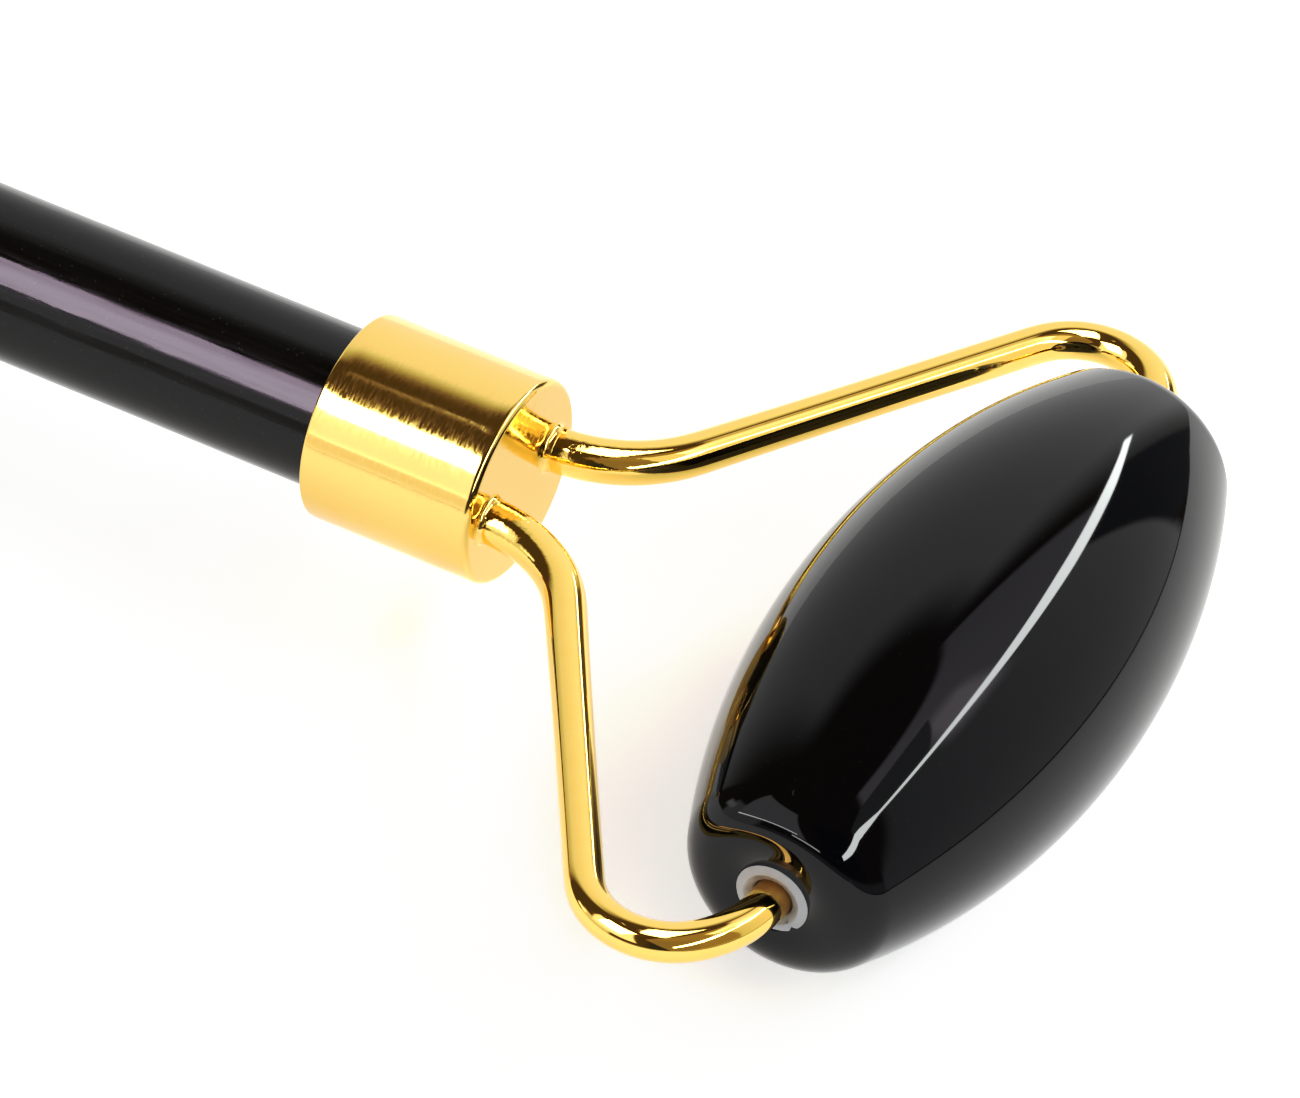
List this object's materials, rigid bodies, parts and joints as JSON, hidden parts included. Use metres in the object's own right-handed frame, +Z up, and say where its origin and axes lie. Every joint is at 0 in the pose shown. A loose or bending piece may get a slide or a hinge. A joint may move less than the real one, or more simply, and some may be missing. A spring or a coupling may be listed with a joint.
{
  "type": "face roller",
  "caption": "Double-ended face roller: barrel-shaped stones spin on bushes in wire forks at both ends of a stone handle, for massaging the face.",
  "frame": {"origin": "on the table under the middle of the object's bounding box, with both rollers resting on z = 0", "axes": "+X along the handle from the small roller to the large roller, +Y along the roller axles, +Z up, away from the table"},
  "size_m": [0.149, 0.0566, 0.02],
  "materials": {
    "handle_stone": "semi-gloss polished black stone",
    "roller_stone": "high-gloss polished black stone",
    "ferrule_gold": "gold plated, finely brushed round the side",
    "arm_gold": "gold plated, mirror polished",
    "braze_gold": "gold plated braze fillet, satin",
    "bush_nylon": "translucent off-white moulded nylon",
    "adhesive": "cured clear resin, hidden"
  },
  "bodies": {
    "handle_frame": {"handle_stone": "handle_stone", "large_ferrule": "ferrule_gold", "small_ferrule": "ferrule_gold", "large_ferrule_adhesive": "adhesive", "small_ferrule_adhesive": "adhesive", "large_arm_left": "arm_gold", "large_arm_right": "arm_gold", "small_arm_left": "arm_gold", "small_arm_right": "arm_gold", "large_braze_left": "braze_gold", "large_braze_right": "braze_gold", "small_braze_left": "braze_gold", "small_braze_right": "braze_gold"},
    "large_roller": {"large_roller_stone": "roller_stone", "large_bush_left": "bush_nylon", "large_bush_right": "bush_nylon"},
    "small_roller": {"small_roller_stone": "roller_stone", "small_bush_left": "bush_nylon", "small_bush_right": "bush_nylon"}
  },
  "joints": [
    {"name": "large_roller_spin", "type": "hinge", "parent": "handle_frame", "child": "large_roller", "pos_m": [0.06449, 0, 0.01], "axis": [0, 1, 0], "continuous": true},
    {"name": "small_roller_spin", "type": "hinge", "parent": "handle_frame", "child": "small_roller", "pos_m": [-0.06724, 0, 0.00725], "axis": [0, 1, 0], "continuous": true}
  ]
}
